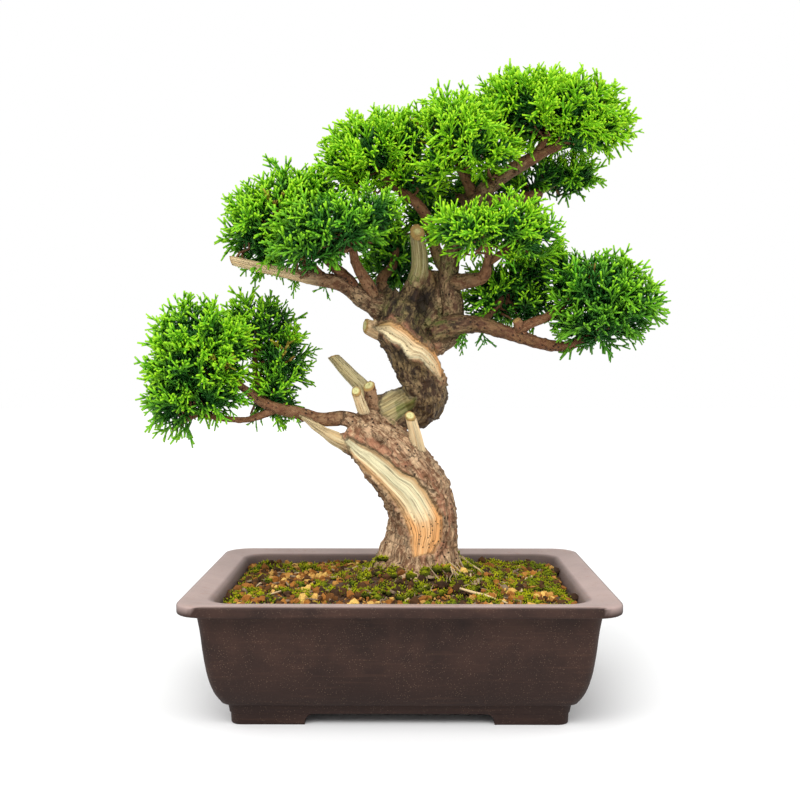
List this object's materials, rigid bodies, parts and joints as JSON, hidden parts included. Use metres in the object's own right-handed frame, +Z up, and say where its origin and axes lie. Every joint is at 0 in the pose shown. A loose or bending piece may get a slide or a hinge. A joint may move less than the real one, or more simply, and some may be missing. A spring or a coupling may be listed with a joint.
{
  "type": "potted bonsai tree",
  "caption": "Shimpaku juniper bonsai with a curved, partly bare trunk and spiky foliage pads, planted in a brown unglazed rectangular pot on corner feet.",
  "frame": {"origin": "on the surface that the pot stands on, under the middle of the pot", "axes": "+Z up, +X towards the viewer's right in the front view, +Y towards the back"},
  "size_m": [0.4478, 0.255, 0.5192],
  "materials": {
    "pot_clay": "unglazed, matt",
    "screen_plastic": "matt",
    "clip_wire": "brown anodised",
    "soil_granules": "rough granules",
    "wood": "flaky bark with pale bare wood",
    "foliage": "fresh scale leaves, satin"
  },
  "bodies": {
    "root": {"pot": "pot_clay", "drain_screen_left": "screen_plastic", "drain_screen_right": "screen_plastic", "screen_clip_left": "clip_wire", "screen_clip_right": "clip_wire", "soil": "soil_granules", "trunk": "wood", "foliage_low_left": "foliage", "foliage_low_left_back": "foliage", "foliage_left": "foliage", "foliage_left_front": "foliage", "foliage_left_inner_back": "foliage", "foliage_upper_left": "foliage", "foliage_top_centre": "foliage", "foliage_top_right": "foliage", "foliage_top_right_back": "foliage", "foliage_middle_right": "foliage", "foliage_right_inner_back": "foliage", "foliage_right": "foliage"}
  },
  "joints": []
}
